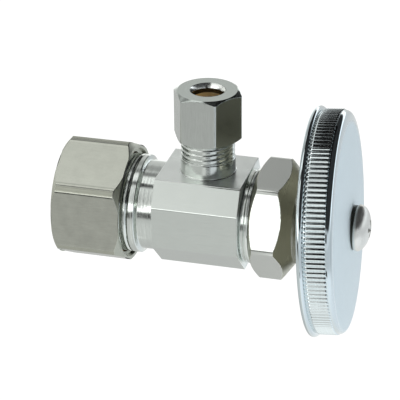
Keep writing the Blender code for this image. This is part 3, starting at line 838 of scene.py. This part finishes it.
def make_packing_nut(surfaces):
    angles = sweep_angles(corner_angles(PACKING_TURN), coarse=1.5, fine=0.5, spread=16.0)
    side = nut_side(angles, PACKING_FLATS, PACKING_TURN, PACKING_LAND_R, 0.3)
    back, front = PACKING_NUT_X
    land_start, land_end = PACKING_LAND_X
    thread_r = BONNET_THREAD_R + NUT_CLEARANCE
    hole_r = STEM_R + NUT_CLEARANCE
    back_slope = (PACKING_LAND_R - PACKING_BACK_R) / (land_start - back)
    front_slope = (PACKING_LAND_R - PACKING_FACE_R) / (front - land_end)
    rings = lathe(angles, [(back, thread_r + 0.3), (back, PACKING_BACK_R - 0.1)])
    for s in np.linspace(0, land_start - back + 0.1, 14):
        rings.append(ring(angles, back + s, soft_min(side, PACKING_BACK_R + back_slope * s)))
    for s in np.linspace(front - land_end + 0.1, 0, 30):
        rings.append(ring(angles, front - s, soft_min(side, PACKING_FACE_R + front_slope * s)))
    rings += lathe(angles, [
        (front, PACKING_FACE_R - 0.1),
        (front, PACKING_FACE_R - 0.5),
        (front - 0.12, PACKING_FACE_R - 0.75),
        (front - 0.12, hole_r + 1.0),
        (front - 0.02, hole_r + 0.8),
        (front, hole_r + 0.3),
        (front - 0.3, hole_r),
        (BODY_X[1] + 0.5, hole_r),
        (BODY_X[1] + 0.5, thread_r),
    ])
    rings += thread_rings(angles, back + 0.5, BODY_X[1] + 0.2, thread_r, BONNET_PITCH, 0.4,
                          inside=True)[::-1]
    rings += lathe(angles, [(back + 0.3, thread_r)])
    nut = swept("bonnet_packing_nut", angles, rings)
    shade(nut)

    def choose(centres, normals):
        inward = (centres[:, 1:] * normals[:, 1:]).sum(axis=1) < -0.1
        inside = inward & (centres[:, 0] > back + 0.3) & (centres[:, 0] < front - 1.0)
        ends = np.abs(normals[:, 0]) > END_SLOPE
        return [("brass", inside), ("packing_ends", ends), ("packing_flats", True)]

    paint(nut, surfaces, choose)
    ride(nut, "packing_nut", ["packing_nut"])


def make_ferrules(surfaces):
    angles = sweep_angles(coarse=3.0)
    inner_r = SUPPLY_TUBE_R + 0.1
    low, high = extent("inlet_ferrule", 0)
    inlet = swept("inlet_compression_sleeve", angles, lathe(angles, [
        (low + 0.05, inner_r),
        (low, inner_r + 0.1),
        (low, inner_r + 0.3),
        (low + 0.8, inner_r + 0.78),
        *arc(((low + high) / 2 - 0.2, inner_r + 0.25), 1.0, 130, 60, 6),
        (high, inner_r + 0.2),
        (high - 0.05, inner_r),
    ]))
    shade(inlet, 40)
    one_surface(inlet, surfaces["brass"])
    ride(inlet, "inlet_ferrule", ["inlet_ferrule"])
    inner_r = OUTLET_TUBE_R + 0.1
    low, high = extent("outlet_ferrule", 2)
    outlet = swept("outlet_compression_sleeve", angles, lathe(angles, [
        (low + 0.05, inner_r),
        (low, inner_r + 0.12),
        *arc((low + 1.55, inner_r + 0.25), 0.7, 140, 40, 6),
        (high, inner_r + 0.3),
        (high, inner_r + 0.1),
        (high - 0.08, inner_r),
    ]), Z_AXIS, OUTLET_CENTRE)
    shade(outlet, 40)
    # The outlet sleeve gets brass_z, the lighter copy of the brass: painted light.
    one_surface(outlet, surfaces["brass_z"])
    ride(outlet, "outlet_ferrule", ["outlet_ferrule"])


def crown(radius, offset=0.0):
    """Place of the handle's domed face at a distance from its centre."""
    rise = HANDLE_CENTRE_X - HANDLE_EDGE_X
    return HANDLE_CENTRE_X + offset - rise * (radius / HANDLE_EDGE_R) ** 2


def make_handle(surfaces):
    count = HANDLE_RIBS * STEPS_PER_RIB
    angles = np.arange(count) * 2 * math.pi / count
    rib = 0.5 + 0.5 * np.cos(angles * HANDLE_RIBS)
    bead_r, edge_r = HANDLE_BEAD_R, HANDLE_ROUNDING
    bore_r = STEM_END_R + 0.3
    band_start = HANDLE_BACK_X + 2 * bead_r + 0.25
    band_end = HANDLE_EDGE_X - edge_r + 0.1
    inner_r = HANDLE_BAND_R - HANDLE_WALL + 0.15
    edge_start = HANDLE_EDGE_R - edge_r
    rings = lathe(angles, [(crown(bore_r), bore_r)])
    rings += lathe(angles, [(crown(r), r) for r in (4.5, 7.5, 11.0, 14.5, 18.0, 20.0)])
    rings += lathe(angles, arc((HANDLE_EDGE_X - edge_r, edge_start), edge_r, 5, 88, 12))

    def rib_ring(share, place):
        """A ring across the ribs, which reach their height at share 1."""
        lift = math.sin(min(share, 1) * math.pi / 2)
        return ring(angles, place, HANDLE_BAND_R + HANDLE_RIB * rib * lift)

    shares = (0, 0.3, 0.7, 1.0, 1.3)
    rings += [rib_ring(s, band_end - s * RIB_END) for s in shares]
    rings += [rib_ring(s, band_start + s * RIB_END) for s in shares[::-1]]
    rings += lathe(angles, [(band_start - 0.15, HANDLE_BAND_R)])
    rings += lathe(angles, arc((HANDLE_BACK_X + bead_r, HANDLE_R - bead_r), bead_r, 20, 200, 12))
    rings += lathe(angles, [
        (HANDLE_BACK_X + 0.5, inner_r + 0.1),
        (HANDLE_BACK_X + 1.0, inner_r),
        (HANDLE_EDGE_X - 3.0, inner_r),
        (HANDLE_EDGE_X - 2.2, inner_r - 0.8),
    ])
    rings += lathe(angles, [(crown(r, -HANDLE_WALL), r)
                            for r in (19.6, 16.0, 12.0, 8.5, HUB_R + 0.5)])
    rings += lathe(angles, [
        (crown(HUB_R, -HANDLE_WALL - 0.5), HUB_R),
        (HANDLE_BACK_X + 0.2, HUB_R),
        (HANDLE_BACK_X, HUB_R - 0.2),
        (HANDLE_BACK_X, bore_r + 0.2),
        (HANDLE_BACK_X + 0.2, bore_r),
    ])
    handle = swept("handwheel", angles, rings)
    pivot = Vector((HANDLE_BACK_X, 0, 0)) * MM
    shade(handle, 50)

    def choose(centres, normals):
        out = np.hypot(centres[:, 1], centres[:, 2])
        behind = (centres[:, 0] < crown(out, -0.3)) & (normals[:, 0] < 0.3)
        # back_face gets the darker plate of the hollow back: painted shade.
        back_face = behind & (out < inner_r + 0.2)
        # knurl gets the lighter copy of the handle's chrome: painted light.
        knurl = (out < HANDLE_BAND_R + 0.5) & (out > inner_r + 0.5)
        knurl &= (centres[:, 0] > band_start) & (centres[:, 0] < band_end) & (normals[:, 0] < 0.5)
        return [("handle_inside", back_face), ("handle_knurl", knurl), ("handle", True)]

    paint(handle, surfaces, choose)
    rise = Vector((0, 0, HANDLE_RISE)) * MM
    handle.data.transform(Matrix.Translation(pivot + rise) @ HANDLE_LEAN
                          @ Matrix.Translation(-pivot))
    ride(handle, "handle", ["handle"])


def make_handle_screw(surfaces):
    angles = sweep_angles(coarse=3.0)
    seat, head_r = SCREW_SEAT_X, SCREW_HEAD_R
    thread_start = SCREW_X[0]
    top, side_h = seat + SCREW_HEAD_H, 0.5
    dome = []
    for turn in np.radians(np.linspace(0, 90, 15)):
        place = seat + side_h + (SCREW_HEAD_H - side_h) * math.sin(turn)
        dome.append((place, head_r * math.cos(turn)))
    rings = lathe(angles, [(thread_start, 0), (thread_start, 0.9), (thread_start + 0.5, 1.3)])
    rings += thread_rings(angles, thread_start + 0.6, HANDLE_CENTRE_X - 1.0, SCREW_THREAD_R,
                          SCREW_THREAD_PITCH, 0.35)
    foot = HANDLE_CENTRE_X - 0.25
    rings += lathe(angles, [
        (foot - 0.2, SCREW_THREAD_R),
        (foot, 1.8),
        (foot, head_r - 0.45),
        (foot + 0.15, head_r - 0.3),
        (seat + 0.1, head_r - 0.22),
        (seat + 0.3, head_r - 0.04),
    ])
    rings += lathe(angles, dome[:-1] + [(top, 0)])
    screw = swept("handle_fixing_screw", angles, rings)
    for name, turn in (("recess_a", SCREW_TURN), ("recess_b", SCREW_TURN + math.pi / 2)):
        boolean(screw, recess_wing(name, turn, top), "DIFFERENCE")
    shade(screw)

    def choose(centres, normals):
        # rim is the side of the head by the handle's face, painted near-black: painted shade.
        rim = (centres[:, 0] < seat - 0.05) & (centres[:, 0] > foot - 0.1)
        return [("screw_rim", rim), ("screw", True)]

    paint(screw, surfaces, choose)
    ride(screw, "handle", ["handle_screw"])


def recess_wing(name, turn, top):
    """One blade of the cross recess: it tapers from the top of the head to its floor."""
    depth, above = 1.5, 1.0
    wide, narrow = (2.5, 0.55), (1.2, 0.38)
    shape = bmesh.new()
    ends = []
    for place, (length, width) in ((top - depth, narrow), (top + above, wide)):
        row = []
        for a, u in ((-length, -width), (length, -width), (length, width), (-length, width)):
            across = a * math.cos(turn) - u * math.sin(turn)
            up = a * math.sin(turn) + u * math.cos(turn)
            row.append(shape.verts.new(Vector((place, -across, up)) * MM))
        ends.append(row)
    shape.faces.new(ends[0])
    shape.faces.new(ends[1])
    for i in range(4):
        j = (i + 1) % 4
        shape.faces.new((ends[0][i], ends[0][j], ends[1][j], ends[1][i]))
    bmesh.ops.recalc_face_normals(shape, faces=shape.faces)
    return add_shape(name, shape)


def make_stem(surfaces):
    angles = sweep_angles(coarse=3.0)
    start, end = STEM_X
    thread_start, thread_end = STEM_THREAD_X
    tooth = 0.5 + 0.5 * np.cos(angles * STEM_SPLINES)
    rings = lathe(angles, [
        (start, 1.3),
        (start, STEM_HOLDER_R - 0.15),
        (start + 0.15, STEM_HOLDER_R),
        (start + 1.1, STEM_HOLDER_R),
        (start + 1.2, STEM_HOLDER_R - 0.1),
        (start + 1.2, STEM_R),
        (thread_start - 0.4, STEM_R),
    ])
    rings += thread_rings(angles, thread_start, thread_end, STEM_THREAD_R, STEM_THREAD_PITCH, 0.9,
                          (0.3, 0.3))
    rings += lathe(angles, [
        (thread_end + 0.1, STEM_R),
        (STEM_SPLINE_X - 0.3, STEM_R),
        (STEM_SPLINE_X, STEM_END_R - 0.1),
    ])
    rings += [ring(angles, x, STEM_END_R - 0.22 * tooth) for x in (STEM_SPLINE_X + 0.2, end - 0.3)]
    rings += lathe(angles, [(end, STEM_END_R - 0.3), (end, 1.9), (end - 8, 1.9), (end - 8, 0)])
    rings = lathe(angles, [(start + 3.6, 0), (start + 3.6, 1.3)]) + rings
    stem = swept("valve_stem", angles, rings)
    shade(stem)
    one_surface(stem, surfaces["stem"])
    ride(stem, "handle", ["stem"])


def dress_inner_nodes(surfaces):
    """The pieces inside the valve keep their CAD shapes and get their own materials."""
    for node, key in (
        ("stem_packing", "packing"),
        ("packing_seat_washer", "brass"),
        ("gland_washer", "brass"),
        ("seat_washer", "rubber"),
        ("seat_washer_screw", "brass"),
    ):
        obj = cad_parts[node]
        for slot in obj.material_slots:
            slot.material = surfaces[key]


# ---------------------------------------------------------------- stage, light and camera

FLOOR_HALF_SIZE = 6.0  # metres
FLOOR_GAP = 0.0002  # metres, under the valve's lowest point


def make_floor():
    """A plain pale floor just under the valve."""
    shape = bmesh.new()
    bmesh.ops.create_grid(shape, x_segments=8, y_segments=8, size=FLOOR_HALF_SIZE)
    floor = add_shape("floor", shape)
    floor.location = (0, 0, cad_low[2] - FLOOR_GAP)
    floor.visible_glossy = False
    nodes = Nodes("pale_floor")
    nodes.shader.inputs["Roughness"].default_value = 0.9
    grain = nodes.noise((0.05, 0.05, 0.05), 3.0, 0.5)
    tone = nodes.ramp(grain, [(0.3, (0.04, 0.04, 0.04)), (0.7, (0.06, 0.06, 0.06))])
    nodes.link(tone, nodes.shader.inputs["Base Color"])
    nodes.shader.inputs["Emission Color"].default_value = (1, 1, 1, 1)
    nodes.shader.inputs["Emission Strength"].default_value = 1.0
    one_surface(floor, nodes.made)


# The hood: part of a tube round the valve's length
HOOD_R = 70.0
HOOD_X = (36.0, 60.0)
HOOD_DEGREES = (33, 124)  # from level towards the front


def make_handle_hood():
    """A black hood over the handwheel. Only reflections see it."""
    angles = np.radians(np.linspace(*HOOD_DEGREES, 40))
    points = []
    for x in HOOD_X:
        points += [(x, -HOOD_R * math.cos(t), HOOD_R * math.sin(t)) for t in angles]
    count = len(angles)
    faces = [(i, i + 1, count + i + 1, count + i) for i in range(count - 1)]
    mesh = bpy.data.meshes.new("handle_hood")
    mesh.from_pydata((np.array(points) * MM).tolist(), [], faces)
    hood = add_object("handle_hood", mesh)
    for ray in ("camera", "diffuse", "transmission", "shadow", "volume_scatter"):
        setattr(hood, "visible_" + ray, False)
    nodes = Nodes("black_cloth")
    grain = nodes.noise((0.5, 0.5, 0.5), 2.0, 0.5)
    nodes.link(nodes.ramp(grain, [(0.3, (0.004, 0.004, 0.004)), (0.7, (0.008, 0.008, 0.008))]),
               nodes.shader.inputs["Base Color"])
    nodes.shader.inputs["Roughness"].default_value = 1.0
    nodes.shader.inputs["Specular IOR Level"].default_value = 0.0
    one_surface(hood, nodes.made)


# Studio seen in the metal, by angle round the valve's length: 0 is level towards the front,
# 90 overhead, 180 level behind and 270 straight down. Each stop is (degrees, brightness).
STUDIO = [
    (0, 0.1), (2, 0.1), (5, 2.0), (20, 2.2), (25, 0.85), (42, 0.8), (64, 1.0), (69, 0.15),
    (75, 0.15), (80, 1.15), (97, 1.15), (103, 0.3), (110, 0.3), (118, 0.7), (126, 0.42),
    (138, 0.42), (148, 0.66), (160, 0.66), (176, 0.75), (184, 1.3), (194, 1.3), (202, 0.66),
    (235, 0.57), (255, 0.6), (300, 0.7), (344, 0.64), (350, 0.1),
]
# The same for directions whose x is above END_STUDIO_X: there a dark room takes over.
END_STUDIO = [
    (0, 0.68), (16, 0.7), (21, 0.03), (166, 0.03), (176, 0.7), (202, 0.66), (235, 0.57), (255, 0.6),
    (300, 0.7), (344, 0.66),
]
END_STUDIO_X = (-0.17, -0.12)  # the direction's x where the second takes over from the first
# A pale wall stands level with the valve, in the second: its brightness, what is added to it
# behind the valve, and the directions' z at its foot and its head.
WALL = 0.8
WALL_GAIN_BEHIND = 0.7
WALL_FOOT = (-0.05, 0.0)
WALL_HEAD = (0.14, 0.22)
# A pale floor under the handle makes low directions brighter
PALE_FLOOR_X = (-0.2, -0.08)
PALE_FLOOR_Z = (-0.5, -0.3)
PALE_FLOOR_GAIN = 0.5
# Cards in front of the valve, as (low x, high x, low z, high z, brightness) of their directions
CARDS = [
    (0.1, 0.42, 0.09, 0.25, 0.04),
    (0.08, 0.36, -0.5, -0.4, 0.06),
]
CARD_BLUR = 0.02
RAMP_TOP = 2.0  # a ramp's colours stop at 1, so its brightness is held as a share of this


def make_world():
    """Plain white light, with a softbox studio for the metal to reflect."""
    world = bpy.data.worlds.new("studio")
    world.use_nodes = True
    bpy.context.scene.world = world
    tree = world.node_tree
    tree.nodes.clear()

    def maths(operation, *values):
        return math_node(tree, operation, *values)

    def smooth(value, low, high):
        """0 below low and 1 above high, with a soft step between them."""
        node = tree.nodes.new("ShaderNodeMapRange")
        node.interpolation_type = "SMOOTHSTEP"
        node.inputs[1].default_value = low
        node.inputs[2].default_value = high
        tree.links.new(value, node.inputs[0])
        return node.outputs[0]

    direction = tree.nodes.new("ShaderNodeTexCoord").outputs["Generated"]
    split = tree.nodes.new("ShaderNodeSeparateXYZ")
    tree.links.new(direction, split.inputs[0])
    x, y, z = split.outputs
    turn = maths("ARCTAN2", z, maths("MULTIPLY", y, -1))
    share = maths("FRACT", maths("ADD", maths("DIVIDE", turn, 2 * math.pi), 1.0))

    def around(stops):
        """The brightness of a studio, from its stops round the valve's length."""
        shares = [(degrees / 360, (value / RAMP_TOP,) * 3) for degrees, value in stops]
        return maths("MULTIPLY", ramp_node(tree, share, shares), RAMP_TOP)

    def mixed(a, b, share_of_b):
        rest_of_a = maths("MULTIPLY", a, maths("SUBTRACT", 1.0, share_of_b))
        return maths("ADD", rest_of_a, maths("MULTIPLY", b, share_of_b))

    def band(value, low, high):
        """1 between low and high, with soft ends."""
        return maths("SUBTRACT", smooth(value, low - CARD_BLUR, low + CARD_BLUR),
                     smooth(value, high - CARD_BLUR, high + CARD_BLUR))

    horizon = maths("MULTIPLY", smooth(z, *WALL_FOOT),
                    maths("SUBTRACT", 1.0, smooth(z, *WALL_HEAD)))
    wall = maths("ADD", WALL, maths("MULTIPLY", smooth(y, 0.0, 0.2), WALL_GAIN_BEHIND))
    end_studio = mixed(around(END_STUDIO), wall, horizon)
    studio = mixed(around(STUDIO), end_studio, smooth(x, *END_STUDIO_X))
    low_down = maths("SUBTRACT", 1.0, smooth(z, *PALE_FLOOR_Z))
    pale_side = maths("MULTIPLY", smooth(x, *PALE_FLOOR_X), low_down)
    floor_gain = maths("ADD", 1.0, maths("MULTIPLY", pale_side, PALE_FLOOR_GAIN))
    studio = maths("MULTIPLY", studio, floor_gain)
    in_front = maths("LESS_THAN", y, 0.0)
    for x_low, x_high, z_low, z_high, brightness in CARDS:
        card = maths("MULTIPLY", band(x, x_low, x_high), band(z, z_low, z_high))
        studio = mixed(studio, brightness, maths("MULTIPLY", card, in_front))
    tint = tree.nodes.new("ShaderNodeMix")
    tint.data_type = "RGBA"
    tree.links.new(smooth(x, -0.1, 0.5), tint.inputs["Factor"])
    tint.inputs["A"].default_value = (0.985, 1.0, 0.985, 1)
    tint.inputs["B"].default_value = (0.95, 1.0, 1.05, 1)
    reflected = tree.nodes.new("ShaderNodeBackground")
    tree.links.new(tint.outputs["Result"], reflected.inputs["Color"])
    tree.links.new(studio, reflected.inputs["Strength"])
    plain = tree.nodes.new("ShaderNodeBackground")
    plain.inputs["Color"].default_value = (1, 1, 1, 1)
    path = tree.nodes.new("ShaderNodeLightPath")
    mix = tree.nodes.new("ShaderNodeMixShader")
    tree.links.new(path.outputs["Is Glossy Ray"], mix.inputs[0])
    tree.links.new(plain.outputs[0], mix.inputs[1])
    tree.links.new(reflected.outputs[0], mix.inputs[2])
    output = tree.nodes.new("ShaderNodeOutputWorld")
    tree.links.new(mix.outputs[0], output.inputs["Surface"])


CAMERA_DEGREES = (15.72, 26.5, -0.6)  # azimuth, elevation and roll
CAMERA_DISTANCE = 394.0
CAMERA_TARGET = Vector((22.268, 0, 2.187))
CAMERA_LENS = 170.63


def make_camera():
    """A long lens from the front right and above, as in a catalogue picture."""
    azimuth, elevation, roll = np.radians(CAMERA_DEGREES).tolist()
    back = Vector((math.sin(azimuth) * math.cos(elevation),
                   -math.cos(azimuth) * math.cos(elevation),
                   math.sin(elevation)))
    right = Vector((math.cos(azimuth), math.sin(azimuth), 0))
    up = back.cross(right)
    rolled_right = right * math.cos(roll) + up * math.sin(roll)
    rolled_up = up * math.cos(roll) - right * math.sin(roll)
    data = bpy.data.cameras.new("camera")
    data.sensor_width = 36.0
    data.lens = CAMERA_LENS
    data.clip_start = 0.01
    data.clip_end = 50.0
    camera = bpy.data.objects.new("camera", data)
    rotation = Matrix((rolled_right, rolled_up, back)).transposed().to_4x4()
    place = (CAMERA_TARGET + back * CAMERA_DISTANCE) * MM
    camera.matrix_world = Matrix.Translation(place) @ rotation
    bpy.context.scene.collection.objects.link(camera)
    bpy.context.scene.camera = camera


surfaces = make_materials()
make_camera()
make_world()
make_floor()
make_handle_hood()
for make in (make_body, make_inlet_nut, make_outlet_nut, make_packing_nut, make_ferrules, make_stem,
             make_handle, make_handle_screw):
    make(surfaces)
dress_inner_nodes(surfaces)
bpy.context.scene.view_settings.view_transform = "Standard"

bpy.context.view_layer.update()
